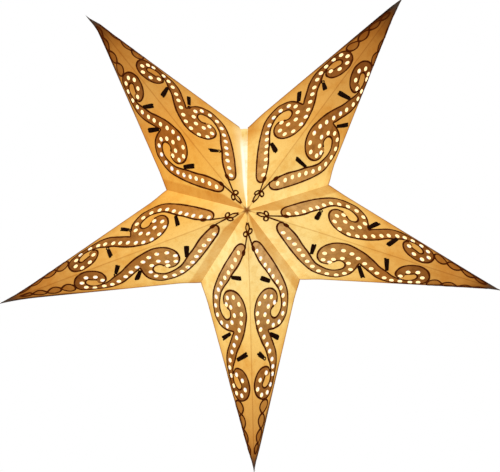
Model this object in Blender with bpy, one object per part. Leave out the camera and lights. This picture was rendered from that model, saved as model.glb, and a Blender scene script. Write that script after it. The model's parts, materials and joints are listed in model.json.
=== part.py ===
"""Paper star lantern: five folded paper arms round a small screw-cap lamp.

Each arm is one sheet, creased along its front and back ridges and along both silhouette edges, so an
arm is four flat facets. Glue tabs join the arms at the valleys, and the seam between the two upper
arms stays open: the star closes round the lampholder there, and folds flat from there like a fan.
Metres, +Z up, the front faces -Y. The origin is the cable entry on top of the lampholder's cap.
"""

from math import acos, cos, hypot, pi, radians, sin, tan

import bmesh
import bpy
from mathutils import Matrix, Vector

# The star
STAR_RADIUS = 0.300
NOTCH_RADIUS = 0.099
HALF_DEPTH = 0.080
PAPER = 0.0004
SEAM_OPENING_DEG = 3.0
ARM_COUNT = 5

# Gap between two facets at their crease, and the trimmed corners
CREASE_GAP = 0.0003
APEX_TRIM = 0.0025
CABLE_CORNER = 0.0045

# Punched holes of a facet
HOLE_RADIUS = 0.0025
HOLE_SIDES = 6

# Glue tabs
TAB_WIDTH = 0.0095
GLUE_LINE = 0.0003
TAB_END_SHARES = (0.20, 0.34, 0.86, 0.95)
SEAM_TAB_END_SHARES = (0.16, 0.26, 0.56, 0.74)

# Lampholder: cap, shell, contact insert and thread shell
CAP_TOP_RADIUS = 0.0060
CABLE_RADIUS = 0.0034
HOLDER_RADIUS = 0.0140
HOLDER_WALL = 0.0015
CAP_RIM = 0.0040
SHELL_LENGTH = 0.0270
SHELL_MOUTH_RADIUS = 0.0125
INSERT_THICKNESS = 0.0060
INSERT_HOLE_RADIUS = 0.0030
THREAD_RADIUS = 0.0072
THREAD_WALL = 0.0005
THREAD_LENGTH = 0.0150
CONTACT_RADIUS = 0.0024
CONTACT_HEAD = 0.0010
SEAT_GAP = 0.0003

# Bulb
BULB_RADIUS = 0.0225
BULB_LENGTH = 0.0750
GLASS_WALL = 0.0007
NECK_SPREAD_DEG = 35.0
SCREW_CAP_RADIUS = 0.0067
SCREW_CAP_WALL = 0.0004
SCREW_CAP_LENGTH = 0.0165
INSULATOR_HEIGHT = 0.0030
BUTTON_RADIUS = 0.0022
BUTTON_HEIGHT = 0.0010
STEM_LENGTH = 0.0260
STEM_RADIUS = 0.0016
FILAMENT_WIRE = 0.0003
FILAMENT_SPAN = 0.0160

# Turned pieces
TURNED_STEPS = 20
SHARP_EDGE_DEG = 30.0
MERGE_GAP = 0.000001

# Colours: base colour, roughness, metallic
PAPER_FINISH = ((0.86, 0.62, 0.30), 0.80, 0.0)
TAB_FINISH = ((0.62, 0.40, 0.17), 0.85, 0.0)
HOLDER_FINISH = ((0.85, 0.84, 0.80), 0.45, 0.0)
INSERT_FINISH = ((0.22, 0.14, 0.09), 0.60, 0.0)
BRASS_FINISH = ((0.80, 0.60, 0.28), 0.30, 1.0)
NICKEL_FINISH = ((0.66, 0.64, 0.60), 0.28, 1.0)
GLASS_FINISH = ((0.95, 0.93, 0.88), 0.10, 0.0)
BLACK_GLASS_FINISH = ((0.03, 0.03, 0.04), 0.20, 0.0)
FILAMENT_FINISH = ((0.35, 0.33, 0.32), 0.40, 1.0)

# Centres of the punched holes, as shares of the facet's ridge side and of its valley side
POD_ROW_SHARES = (
    (0.101, 0.172), (0.111, 0.239), (0.118, 0.308), (0.121, 0.383), (0.123, 0.455), (0.124, 0.534),
    (0.132, 0.598), (0.145, 0.650), (0.173, 0.671), (0.217, 0.640), (0.269, 0.562), (0.312, 0.446),
)
CURL_SHARES = (
    (0.324, 0.346), (0.311, 0.293), (0.262, 0.362), (0.220, 0.493), (0.209, 0.425), (0.239, 0.304),
    (0.294, 0.196), (0.343, 0.152), (0.374, 0.161),
)

HALF_ARM = (2 * pi - radians(SEAM_OPENING_DEG)) / (2 * ARM_COUNT)
LAST_ARM = (ARM_COUNT - 1) // 2
ARM_NAMES = ("upper_left", "left", "bottom", "right", "upper_right")


def clear_scene():
    for obj in list(bpy.data.objects):
        bpy.data.objects.remove(obj)


def finish(obj, colour, roughness, metallic):
    """Gives an object its own material."""
    material = bpy.data.materials.new(obj.name)
    material.use_nodes = True
    shader = material.node_tree.nodes["Principled BSDF"]
    shader.inputs["Base Color"].default_value = (*colour, 1)
    shader.inputs["Roughness"].default_value = roughness
    shader.inputs["Metallic"].default_value = metallic
    obj.data.materials.append(material)


def empty(name, place):
    obj = bpy.data.objects.new(name, None)
    obj.location = place
    bpy.context.collection.objects.link(obj)
    return obj


def direction(angle):
    """Unit vector in the star's mid-plane, turned from straight down towards +X."""
    return Vector((sin(angle), 0, -cos(angle)))


def offset_line(start, end, inset):
    """The line through two points, moved to its left by inset: a point and a direction."""
    along = (end - start).normalized()
    return start + Vector((-along.y, along.x)) * inset, along


def crossing(first, second):
    """Where two lines of a plane meet."""
    (p, u), (q, v) = first, second
    gap = q - p
    return p + u * ((gap.x * v.y - gap.y * v.x) / (u.x * v.y - u.y * v.x))


def mitre(fold):
    """How far back from an outward crease a facet's inner face ends; fold is half the crease's angle."""
    return PAPER / tan(fold)


def half_gap(fold):
    """A facet's share of the gap at a crease, measured along the facet."""
    return CREASE_GAP / 2 / sin(fold)


class Facet:
    """One flat facet of an arm: its apex, the arm's tip and the notch, and its own plane."""

    def __init__(self, front, ridge_angle, valley_angle):
        self.apex = Vector((0, -HALF_DEPTH if front else HALF_DEPTH, 0))
        self.tip = direction(ridge_angle) * STAR_RADIUS
        self.notch = direction(valley_angle) * NOTCH_RADIUS
        ridge = self.tip - self.apex
        valley = self.notch - self.apex
        along = ridge.normalized()
        outward = ridge.cross(valley).normalized()
        if outward.dot(self.apex) < 0:
            outward.negate()
        across = outward.cross(along)
        self.side = 1 if valley.dot(across) > 0 else -1
        self.axes = Matrix((along, across, outward)).transposed()
        self.ridge_fold = acos(abs(outward.dot(direction(ridge_angle + pi / 2))))
        self.valley_fold = acos(abs(outward.dot(direction(valley_angle + pi / 2))))
        self.edge_fold = acos(abs(outward.y))
        self.valley_length = valley.length
        self.flat_tip = Vector((ridge.length, 0))
        self.flat_notch = Vector((valley.dot(along), abs(valley.dot(across))))

    def point(self, ridge_share, valley_share):
        """A place on the facet, from shares of its ridge and valley sides."""
        return self.flat_tip * ridge_share + self.flat_notch * valley_share

    def outline(self, open_corner):
        """The facet's edge, drawn in from its creases, with its apex and any cable corner cut off."""
        centre = Vector((0, 0))
        ridge = offset_line(centre, self.flat_tip, mitre(self.ridge_fold) + half_gap(self.ridge_fold))
        edge_inset = mitre(self.edge_fold) + half_gap(self.edge_fold)
        silhouette = offset_line(self.flat_tip, self.flat_notch, edge_inset)
        valley = offset_line(self.flat_notch, centre, half_gap(self.valley_fold))
        middle = (self.flat_tip.normalized() + self.flat_notch.normalized()).normalized()
        trim = offset_line(middle * APEX_TRIM, middle * APEX_TRIM + Vector((middle.y, -middle.x)), 0)
        points = [crossing(trim, ridge), crossing(ridge, silhouette)]
        corner = crossing(silhouette, valley)
        if open_corner:
            points.append(corner - silhouette[1] * CABLE_CORNER)
            points.append(corner + valley[1] * CABLE_CORNER)
        else:
            points.append(corner)
        points.append(crossing(valley, trim))
        return points

    def holes(self):
        """The punched holes, each a small polygon."""
        for shares in POD_ROW_SHARES + CURL_SHARES:
            middle = self.point(*shares)
            ring = []
            for step in range(HOLE_SIDES):
                turn = 2 * pi * step / HOLE_SIDES
                ring.append(middle + Vector((cos(turn), sin(turn))) * HOLE_RADIUS)
            yield ring

    def strip(self, end_shares, near, far):
        """A strip beside the valley edge, with slanted ends; near and far count from the valley line."""
        along = self.flat_notch.normalized()
        inward = Vector((along.y, -along.x))
        start, full, narrow, end = (share * self.valley_length for share in end_shares)
        return [
            along * start + inward * near,
            along * full + inward * far,
            along * narrow + inward * far,
            along * end + inward * near,
        ]


def sheet(name, facet, origin, rings, top, thickness, parent, look):
    """A flat piece of paper in a facet's plane, top below its outer face, with any inner rings cut out."""
    mesh = bmesh.new()
    start = facet.axes.transposed() @ (origin - facet.apex)
    for ring in rings:
        corners = []
        for place in ring:
            corners.append(mesh.verts.new((place.x - start.x, place.y * facet.side - start.y, -top - start.z)))
        for pair in zip(corners, corners[1:] + corners[:1]):
            mesh.edges.new(pair)
    bmesh.ops.triangle_fill(mesh, use_beauty=True, edges=mesh.edges)
    pushed = bmesh.ops.extrude_face_region(mesh, geom=mesh.faces)["geom"]
    floor = [part for part in pushed if isinstance(part, bmesh.types.BMVert)]
    bmesh.ops.translate(mesh, verts=floor, vec=(0, 0, -thickness))
    bmesh.ops.recalc_face_normals(mesh, faces=mesh.faces)
    data = bpy.data.meshes.new(name)
    mesh.to_mesh(data)
    mesh.free()
    obj = bpy.data.objects.new(name, data)
    bpy.context.collection.objects.link(obj)
    obj.parent = parent
    obj.matrix_local = Matrix.Translation(origin) @ facet.axes.to_4x4()
    finish(obj, *look)
    return obj


def turned(name, profile, parent, look, steps=TURNED_STEPS):
    """A turned piece from radius and height pairs; the profile is open where both its ends are on the axis."""
    mesh = bmesh.new()
    points = [mesh.verts.new((radius, 0, height)) for radius, height in profile]
    edges = [mesh.edges.new(pair) for pair in zip(points, points[1:])]
    if profile[0][0] or profile[-1][0]:
        edges.append(mesh.edges.new((points[-1], points[0])))
    bmesh.ops.spin(
        mesh, geom=points + edges, cent=(0, 0, 0), axis=(0, 0, 1), angle=2 * pi, steps=steps, use_merge=True
    )
    bmesh.ops.remove_doubles(mesh, verts=mesh.verts, dist=MERGE_GAP)
    bmesh.ops.recalc_face_normals(mesh, faces=mesh.faces)
    data = bpy.data.meshes.new(name)
    mesh.to_mesh(data)
    mesh.free()
    data.shade_smooth()
    data.set_sharp_from_angle(angle=radians(SHARP_EDGE_DEG))
    obj = bpy.data.objects.new(name, data)
    bpy.context.collection.objects.link(obj)
    obj.parent = parent
    finish(obj, *look)
    return obj


def half_name(arm, side):
    """What a person would call one half of an arm."""
    if arm == 0:
        return "right" if side > 0 else "left"
    return "upper" if arm * side > 0 else "lower"


def make_arm(place_in_row, parent):
    """An arm's four facets, with the next arm's glue tab on the half that takes it."""
    label = ARM_NAMES[place_in_row]
    arm = place_in_row - LAST_ARM
    ridge_angle = 2 * HALF_ARM * arm
    for side in (-1, 1):
        valley_angle = ridge_angle + side * HALF_ARM
        at_seam = arm * side == LAST_ARM
        for face, front in (("front", True), ("back", False)):
            facet = Facet(front, ridge_angle, valley_angle)
            hinge = facet.apex if front else facet.notch
            name = f"{label}_{face}_{half_name(arm, side)}"
            rings = [facet.outline(at_seam), *facet.holes()]
            sheet(name, facet, hinge, rings, 0, PAPER, parent, PAPER_FINISH)
            if side > 0 and not at_seam:
                giver = ARM_NAMES[place_in_row + 1]
                ring = facet.strip(TAB_END_SHARES, half_gap(facet.valley_fold), TAB_WIDTH)
                place = PAPER + GLUE_LINE
                sheet(f"glue_tab_{giver}_{face}", facet, hinge, [ring], place, PAPER, parent, TAB_FINISH)
            if side < 0 and at_seam:
                near = half_gap(facet.valley_fold) - GLUE_LINE
                ring = facet.strip(SEAM_TAB_END_SHARES, near, -TAB_WIDTH)
                sheet(f"seam_tab_{face}", facet, hinge, [ring], 0, PAPER, parent, TAB_FINISH)


def cap_slope():
    """Fall of the cap's cone for each metre outwards: the slope of the seam edges that rest on it."""
    return NOTCH_RADIUS / HALF_DEPTH


def star_drop():
    """How far the star's centre hangs below the cap's top."""
    return NOTCH_RADIUS - CAP_TOP_RADIUS * cap_slope() - SEAT_GAP * hypot(1, cap_slope())


def make_holder(parent):
    """The lampholder: a coned cap over a shell, with the contact insert and thread shell inside."""
    shoulder = -(HOLDER_RADIUS - CAP_TOP_RADIUS) * cap_slope()
    rim = shoulder - CAP_RIM
    inner = HOLDER_RADIUS - HOLDER_WALL
    roof = -HOLDER_WALL
    cap = [
        (CABLE_RADIUS, 0),
        (CAP_TOP_RADIUS, 0),
        (HOLDER_RADIUS, shoulder),
        (HOLDER_RADIUS, rim),
        (inner, rim),
        (inner, shoulder - HOLDER_WALL),
        (CAP_TOP_RADIUS, roof - HOLDER_WALL),
        (CABLE_RADIUS, roof - HOLDER_WALL),
    ]
    turned("holder_cap", cap, parent, HOLDER_FINISH)
    shell_top = rim - SEAT_GAP
    mouth = shell_top - SHELL_LENGTH
    lip = inner - SEAT_GAP
    bore = lip - HOLDER_WALL
    shell = [
        (bore, shell_top + CAP_RIM / 2),
        (lip, shell_top + CAP_RIM / 2),
        (lip, shell_top),
        (HOLDER_RADIUS, shell_top),
        (HOLDER_RADIUS, shell_top - SHELL_LENGTH / 3),
        (SHELL_MOUTH_RADIUS, mouth),
        (SHELL_MOUTH_RADIUS - HOLDER_WALL, mouth),
        (bore, shell_top - SHELL_LENGTH / 3),
    ]
    turned("holder_shell", shell, parent, HOLDER_FINISH)
    insert_top = shell_top
    insert_floor = insert_top - INSERT_THICKNESS
    insert_radius = bore - SEAT_GAP
    insert = [
        (INSERT_HOLE_RADIUS, insert_top),
        (insert_radius, insert_top),
        (insert_radius, insert_floor),
        (INSERT_HOLE_RADIUS, insert_floor),
    ]
    turned("contact_insert", insert, parent, INSERT_FINISH)
    thread_top = insert_floor - SEAT_GAP
    thread = [
        (THREAD_RADIUS, thread_top),
        (THREAD_RADIUS + THREAD_WALL, thread_top),
        (THREAD_RADIUS + THREAD_WALL, thread_top - THREAD_LENGTH),
        (THREAD_RADIUS, thread_top - THREAD_LENGTH),
    ]
    turned("thread_shell", thread, parent, BRASS_FINISH)
    pin = INSERT_HOLE_RADIUS - SEAT_GAP
    contact_floor = insert_floor - CONTACT_HEAD
    contact = [
        (0, insert_top),
        (pin, insert_top),
        (pin, insert_floor - SEAT_GAP),
        (pin + CONTACT_RADIUS / 2, insert_floor - SEAT_GAP),
        (CONTACT_RADIUS, contact_floor - SEAT_GAP),
        (0, contact_floor - SEAT_GAP),
    ]
    turned("centre_contact", contact, parent, BRASS_FINISH)
    return contact_floor - 2 * SEAT_GAP


def make_bulb(parent, top):
    """The bulb hanging from the contact at top: button, black glass, screw cap, globe, stem, filament."""
    button_floor = top - BUTTON_HEIGHT
    button = [
        (0, top),
        (BUTTON_RADIUS * cos(pi / 4), top),
        (BUTTON_RADIUS, top - BUTTON_HEIGHT / 2),
        (BUTTON_RADIUS, button_floor),
        (0, button_floor),
    ]
    turned("bulb_contact", button, parent, NICKEL_FINISH)
    glass_top = button_floor - SEAT_GAP
    insulator_floor = glass_top - INSULATOR_HEIGHT
    insulator_radius = SCREW_CAP_RADIUS - SCREW_CAP_WALL
    insulator = [
        (0, glass_top),
        (BUTTON_RADIUS, glass_top),
        (insulator_radius, insulator_floor + SCREW_CAP_WALL),
        (insulator_radius, insulator_floor),
        (0, insulator_floor),
    ]
    turned("bulb_insulator", insulator, parent, BLACK_GLASS_FINISH)
    cap_top = insulator_floor - SEAT_GAP
    cap_floor = cap_top - SCREW_CAP_LENGTH
    bore = SCREW_CAP_RADIUS - SCREW_CAP_WALL
    screw_cap = [
        (bore - SCREW_CAP_WALL, cap_top),
        (bore, cap_top),
        (SCREW_CAP_RADIUS, cap_top - SCREW_CAP_WALL),
        (SCREW_CAP_RADIUS, cap_floor),
        (bore, cap_floor),
        (bore, cap_top - SCREW_CAP_WALL),
        (bore - SCREW_CAP_WALL, cap_top - SCREW_CAP_WALL),
    ]
    turned("bulb_screw_cap", screw_cap, parent, NICKEL_FINISH)
    neck = bore - SEAT_GAP
    neck_top = cap_top - SCREW_CAP_LENGTH / 3
    centre = top - BULB_LENGTH + BULB_RADIUS
    join = radians(NECK_SPREAD_DEG)
    outer = []
    inner = []
    rings = TURNED_STEPS // 2
    for ring in range(rings + 1):
        turn = join + (pi - join) * ring / rings
        outer.append((BULB_RADIUS * sin(turn), centre + BULB_RADIUS * cos(turn)))
        inner_radius = BULB_RADIUS - GLASS_WALL
        inner.append((inner_radius * sin(turn), centre + inner_radius * cos(turn)))
    outer[-1] = (0, outer[-1][1])
    inner[-1] = (0, inner[-1][1])
    blown = [(neck, neck_top), (neck, cap_floor), *outer]
    hollow = [(neck - GLASS_WALL, neck_top), (neck - GLASS_WALL, cap_floor), *inner]
    turned("bulb_glass", [*reversed(hollow), *blown], parent, GLASS_FINISH)
    stem_floor = neck_top - STEM_LENGTH
    flare = neck - GLASS_WALL - SEAT_GAP
    stem = [
        (0, neck_top),
        (flare, neck_top),
        (flare, neck_top - STEM_RADIUS),
        (STEM_RADIUS, neck_top - 3 * STEM_RADIUS),
        (STEM_RADIUS, stem_floor),
        (0, stem_floor),
    ]
    turned("bulb_stem", stem, parent, GLASS_FINISH, TURNED_STEPS // 2)
    make_filament(parent, stem_floor)


def make_filament(parent, stem_floor):
    """The lead wires and filament: one bent wire under the stem."""
    curve = bpy.data.curves.new("bulb_filament", "CURVE")
    curve.dimensions = "3D"
    curve.bevel_depth = FILAMENT_WIRE
    curve.bevel_resolution = 1
    curve.use_fill_caps = True
    spline = curve.splines.new("POLY")
    half = FILAMENT_SPAN / 2
    hang = stem_floor - SEAT_GAP - FILAMENT_WIRE
    places = [
        Vector((-half, 0, hang - half)),
        Vector((-half / 2, 0, hang - half / 3)),
        Vector((-STEM_RADIUS, 0, hang)),
        Vector((STEM_RADIUS, 0, hang)),
        Vector((half / 2, 0, hang - half / 3)),
        Vector((half, 0, hang - half)),
    ]
    spline.points.add(len(places) - 1)
    for target, place in zip(spline.points, places):
        target.co = (*place, 1)
    obj = bpy.data.objects.new("bulb_filament", curve)
    bpy.context.collection.objects.link(obj)
    obj.parent = parent
    finish(obj, *FILAMENT_FINISH)


clear_scene()
star = empty("star_centre", (0, 0, -star_drop()))
lamp = empty("lamp_axis", (0, 0, 0))
for arm_place in range(ARM_COUNT):
    make_arm(arm_place, star)
bulb_top = make_holder(lamp)
make_bulb(lamp, bulb_top)
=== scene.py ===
"""Dresses a hanging star lantern of folded, pierced and painted paper, lit by a small lamp inside it."""

import json
from math import acos, atan2, cos, pi, radians, sin, tan
from random import Random

import bmesh
import bpy
import numpy as np
from mathutils import Matrix, Vector
from mathutils.geometry import interpolate_bezier


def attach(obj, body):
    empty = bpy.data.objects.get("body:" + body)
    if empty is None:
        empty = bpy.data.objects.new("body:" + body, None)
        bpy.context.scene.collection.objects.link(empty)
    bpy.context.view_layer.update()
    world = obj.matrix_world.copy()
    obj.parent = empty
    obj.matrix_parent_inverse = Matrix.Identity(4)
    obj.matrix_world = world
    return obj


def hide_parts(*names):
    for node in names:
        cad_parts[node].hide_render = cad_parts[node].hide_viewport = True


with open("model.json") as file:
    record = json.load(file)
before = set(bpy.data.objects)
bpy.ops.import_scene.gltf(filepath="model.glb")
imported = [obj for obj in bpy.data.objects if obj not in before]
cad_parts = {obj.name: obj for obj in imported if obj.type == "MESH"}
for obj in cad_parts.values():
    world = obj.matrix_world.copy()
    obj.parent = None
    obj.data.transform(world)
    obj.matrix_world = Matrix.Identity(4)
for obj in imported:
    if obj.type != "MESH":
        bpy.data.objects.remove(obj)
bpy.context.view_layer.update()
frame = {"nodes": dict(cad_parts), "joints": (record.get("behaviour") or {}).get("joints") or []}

# The star's paper. Each arm is four flat facets of handmade paper, 0.4 mm thick, that meet at creases. A
# scroll is marked on each facet by hand and 34 round holes are punched along it, so no two facets are
# quite alike. A facet is made flat, x along its ridge crease and y towards its valley, and then folded.
TIP_RADIUS = 0.300
NOTCH_RADIUS = 0.099
PAPER = 0.0004
ARM_NAMES = ("upper_left", "left", "bottom", "right", "upper_right")
SEAM_OPENING = radians(3)
HALF_ARM = (2 * pi - SEAM_OPENING) / (2 * len(ARM_NAMES))
APEX_JOINT = "bottom_right_valley"
FRONT_APEX = Vector(next(joint["pos_m"] for joint in frame["joints"] if joint["name"] == APEX_JOINT))
SWELL = 0.0005
SWELL_FADE = 0.014
SWELL_WAVES = (0.085, 0.070)
SWELL_LEVEL_SHARE = 0.45
# How each folded arm really stands, in millimetres: how far its tip is out and aside, how far its last few
# centimetres are drawn out and bent aside, and how far its two edges lie in.
ARM_SETS = {
    "upper_left": (-3.2, -1.2, 3.0, 4.2, 2.2, 1.1),
    "left": (5.6, -1.4, 6.5, 0.0, 1.8, 1.6),
    "bottom": (8.3, -2.6, -3.8, 0.0, 1.3, 1.4),
    "right": (8.2, -2.1, 1.6, 0.0, 1.4, 0.8),
    "upper_right": (9.0, -2.0, -1.0, 0.0, 2.4, -1.2),
}
# The reach from the star's middle over which each of these sets in. The edges lie in from just past the
# notch, or, beside the open seam, from well before it.
LEAN_START = 0.085
DRAWN_REACH = (0.262, TIP_RADIUS)
BENT_REACH = (0.276, TIP_RADIUS)
PINCHED_REACH = (0.284, TIP_RADIUS)
PINCHED_SHARE = 0.3
PAST_NOTCH = (0.001, 0.022)
SEAM_EDGE_REACH = (0.035, 0.090)
MOST_IN_SHARE = 0.35
GATHERED_SHARE = 0.45
GATHERED_POWERS = (1, 3)
LEAST_WIDTH = 1e-5


def direction(angle):
    """Unit vector across the star, turned from straight down towards +X."""
    return Vector((sin(angle), 0, -cos(angle)))


def smooth_share(value, low, high):
    """0 below low, 1 above high, and smooth between them."""
    share = np.clip((value - low) / (high - low), 0, 1)
    return share * share * (3 - 2 * share)


def vertex_places(data):
    """The places of a mesh's vertices, as one array."""
    spots = np.empty(len(data.vertices) * 3, np.float32)
    data.vertices.foreach_get("co", spots)
    return spots.reshape(-1, 3)


def in_scene(name, data):
    """A new object that is part of the scene."""
    obj = bpy.data.objects.new(name, data)
    bpy.context.scene.collection.objects.link(obj)
    return obj


class Facet:
    """A flat facet's name, and the matrix that lays its flat drawing on the star."""

    def __init__(self, arm, face, side):
        number = arm - len(ARM_NAMES) // 2
        if number:
            half = "upper" if number * side > 0 else "lower"
        else:
            half = "right" if side > 0 else "left"
        self.name = f"{ARM_NAMES[arm]}_{face}_{half}"
        self.arm = arm
        self.face = face
        self.side = side
        self.at_seam = number * side == len(ARM_NAMES) // 2
        self.phase = Random(self.name).uniform(0, 2 * pi)
        apex = Vector(FRONT_APEX)
        if face == "back":
            apex.y = -apex.y
        centre = Vector((0, 0, apex.z))
        ridge_angle = 2 * HALF_ARM * number
        valley_angle = ridge_angle + side * HALF_ARM
        along = centre + direction(ridge_angle) * TIP_RADIUS - apex
        valley = centre + direction(valley_angle) * NOTCH_RADIUS - apex
        self.ridge_length = along.length
        along.normalize()
        across = valley - along * valley.dot(along)
        self.notch = Vector((valley.dot(along), across.length))
        across.normalize()
        outward = along.cross(across)
        self.mirrored = outward.y * apex.y < 0
        if self.mirrored:
            outward.negate()
        self.ridge_fold = acos(abs(outward.dot(direction(ridge_angle + pi / 2))))
        self.edge_fold = acos(abs(outward.y))
        self.place = Matrix.Translation(apex) @ Matrix((along, across, outward)).transposed().to_4x4()
        self.out = direction(ridge_angle)
        self.aside = direction(ridge_angle + side * pi / 2)

    def lay(self, flat, name, finishes):
        """A copy of a flat drawing, swelled like folded paper and laid on the star."""
        data = flat.copy()
        data.name = name
        spots = vertex_places(data).astype(float)
        spots[:, 2] += self.swell(spots[:, 0], spots[:, 1])
        place = np.array(self.place)
        spots = self.settled(spots @ place[:3, :3].T + place[:3, 3])
        data.vertices.foreach_set("co", spots.astype(np.float32).ravel())
        if self.mirrored:
            data.flip_normals()
        for finish in finishes:
            data.materials.append(finish)
        return in_scene(name, data)

    def settled(self, spots):
        """Moves places on the ideal arm to where this folded arm's paper really stands."""
        sets = [millimetres / 1000 for millimetres in ARM_SETS[ARM_NAMES[self.arm]]]
        tip_out, tip_aside, drawn_out, bent, *edges_in = sets
        centre = np.array((0, 0, FRONT_APEX.z))
        out, aside = np.array(self.out), np.array(self.aside)
        reach = (spots - centre) @ out
        wide = (spots - centre) @ aside
        notch_reach, notch_wide = NOTCH_RADIUS * cos(HALF_ARM), NOTCH_RADIUS * sin(HALF_ARM)
        tapered = notch_wide * (TIP_RADIUS - reach) / (TIP_RADIUS - notch_reach)
        widest = np.minimum(reach * tan(HALF_ARM), tapered)
        share = np.clip(wide / np.maximum(widest, LEAST_WIDTH), 0, 1)
        edge_reach = [notch_reach + past for past in PAST_NOTCH]
        if self.at_seam and self.side < 0:
            edge_reach = SEAM_EDGE_REACH
        moved_in = edges_in[0 if self.side < 0 else 1] * smooth_share(reach, *edge_reach)
        moved_in = np.minimum(moved_in, MOST_IN_SHARE * widest)
        power = GATHERED_SHARE * widest / np.maximum(abs(moved_in), LEAST_WIDTH)
        moved = -moved_in * share ** np.clip(power, *GATHERED_POWERS)
        moved -= PINCHED_SHARE * (wide + moved) * smooth_share(reach, *PINCHED_REACH)
        far = np.clip((reach - LEAN_START) / (TIP_RADIUS - LEAN_START), 0, None)
        moved += self.side * (tip_aside * far + bent * smooth_share(reach, *BENT_REACH))
        further = tip_out * far + drawn_out * smooth_share(reach, *DRAWN_REACH)
        return spots + np.outer(moved, aside) + np.outer(further, out)

    def swell(self, x, y):
        """How far the paper stands off its plane: nothing at its creases, a little between them."""
        valley = Vector(self.notch).normalized()
        edge = (Vector((self.ridge_length, 0)) - self.notch).normalized()
        gaps = (
            y,
            x * valley.y - y * valley.x,
            (self.ridge_length - x) * -edge.y - y * edge.x,
        )
        along, across = SWELL_WAVES
        waves = np.sin(x * 2 * pi / along + self.phase) * np.cos(y * 2 * pi / across + self.phase)
        rise = SWELL * (SWELL_LEVEL_SHARE + (1 - SWELL_LEVEL_SHARE) * waves)
        for gap in gaps:
            rise = rise * smooth_share(gap, 0, SWELL_FADE)
        return rise


facets = [
    Facet(arm, face, side) for arm in range(len(ARM_NAMES)) for face in ("front", "back") for side in (-1, 1)
]
RIDGE = facets[0].ridge_length
NOTCH = facets[0].notch
VALLEY_ALONG = NOTCH.normalized()
EDGE_ALONG = (NOTCH - Vector((RIDGE, 0))).normalized()
EDGE_INWARD = Vector((-EDGE_ALONG.y, EDGE_ALONG.x))

PUNCH_RADIUS = 0.00264
PUNCH_SIDES = 16
PUNCH_CLEAR = 0.00055
PUNCH_WEB = 0.0014
PUNCH_EDGE = 0.0010
PUNCH_ROUNDS = 4
CLEARING_ROUNDS = 8
CLEARING_OVERRUN = 1.05
STRAY_MIDDLE = (140, 30)
STRAY_SPANS = (100, 30)
LINE_STEP = 0.0011
LINE_CLEAR = 0.0010
LINK_LIFT = 3.2
CELL = 0.008
SNAP = 1e-7
MERGE = 1e-6
CABLE_CORNER = 0.0045
CABLE_WAY = 0.00365
CABLE_WAY_DEPTH = 0.006
SOFT_CORNER = 0.009
SOFT_CORNER_CUTS = (0.0010, 0.0022, 0.0036, 0.0052)
# The pattern, in millimetres: the punched holes, and the outlines of the scroll round them and of the links.
PUNCHED = (
    (48.1, 13.9), (57.7, 19.4), (66.9, 25), (75.2, 31.1), (82.8, 37), (90.9, 43.4), (99.5, 48.5),
    (108.8, 52.8), (119.4, 54.5), (130.1, 52), (138.7, 45.6), (140.6, 36.2), (134.5, 28.1),
    (125.2, 23.8), (116.7, 29.4), (116.5, 40), (106.5, 34.5), (104, 24.7), (110.4, 15.9),
    (121.4, 12.3), (132, 13.1), (141.3, 16.7), (151.3, 21.4), (161.2, 25.7), (170.1, 29.6),
    (180.7, 33.2), (189.9, 34.5), (199.8, 33.9), (210.7, 30.5), (218.7, 24.5), (219.5, 15.3),
    (211.2, 9.5), (201.1, 13.6), (196.1, 23.1),
)
POD_AND_BACK = (
    (42.2, 5.4), (39.6, 7.2), (38.8, 10.4), (40.2, 15), (44, 19.6), (49.8, 24.2), (55.9, 28.9), (62.4, 33.8),
    (69.5, 38.8), (76.8, 43.6), (84.6, 48.4), (92.2, 52.4), (100.1, 56.1), (107.6, 58.6), (115.8, 59.5),
    (124.2, 58.8), (132.3, 56.9), (137.8, 53.1), (142.6, 47.8), (145, 42.6), (146.3, 35.1), (146.2, 28.3),
    (147, 26.4), (151.1, 28.6), (158.4, 31.8), (166.4, 35.4), (173.4, 38.2), (180.8, 39.5), (187.9, 39.4),
    (196.2, 37.6), (203.4, 35.4), (210.6, 33.2), (217.6, 30.4), (223.4, 26.9), (226.6, 22), (227, 16.9),
    (225.1, 11.9), (221.1, 7.1), (215.8, 4.4), (208.7, 3.2), (201.8, 4.7), (195.2, 8.1), (190.8, 12.8),
    (189.1, 18), (189.4, 23.1), (191.7, 26.7), (196.4, 28.6),
)
STEM_AND_CURL = (
    (199.5, 20.6), (204.8, 17.8), (208.2, 15.6), (210.9, 15.6), (213.3, 17.4), (214.1, 20.4), (212.7, 23.9),
    (209.1, 27.4), (204.4, 29.4), (197.4, 30.1), (191.5, 29.9), (185.8, 28.4), (180.8, 26.2), (175.8, 24.6),
    (171, 23), (166.6, 21), (161.5, 18), (155, 14.7), (147.9, 11.5), (141.2, 9.3), (133.9, 7.7), (126.6, 6.4),
    (120.8, 6.3), (114.2, 7.7), (108.2, 10.3), (103.5, 14.2), (100.1, 19), (98.3, 24.2), (98.2, 29.7),
    (99.7, 34.7), (102.6, 38.8), (106.7, 41.5), (110.9, 42.3), (116.2, 41.2),
)
CURL_END = ((118.6, 40.4), (119.6, 38.6))
SMALL_CURL_END = ((196.4, 28.6), (198.9, 27.4), (200.4, 25), (200.4, 22.6), (199.5, 20.6))
INNER_SIDE = (
    (119.6, 36.3), (122.7, 32.3), (126.9, 31.1), (131, 32.1), (133.5, 34.8), (134.3, 38.4), (132.9, 42),
    (129.1, 45.8), (123.9, 48.5), (117.5, 49.2), (110.6, 48.1), (103.4, 45.8), (97.4, 41.9), (91.3, 36.8),
    (86.6, 33), (81.2, 29.4), (75.6, 25.2), (70.1, 20.6), (64.3, 16.2), (57.3, 12), (50, 8.4), (42.2, 5.4),
)
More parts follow.
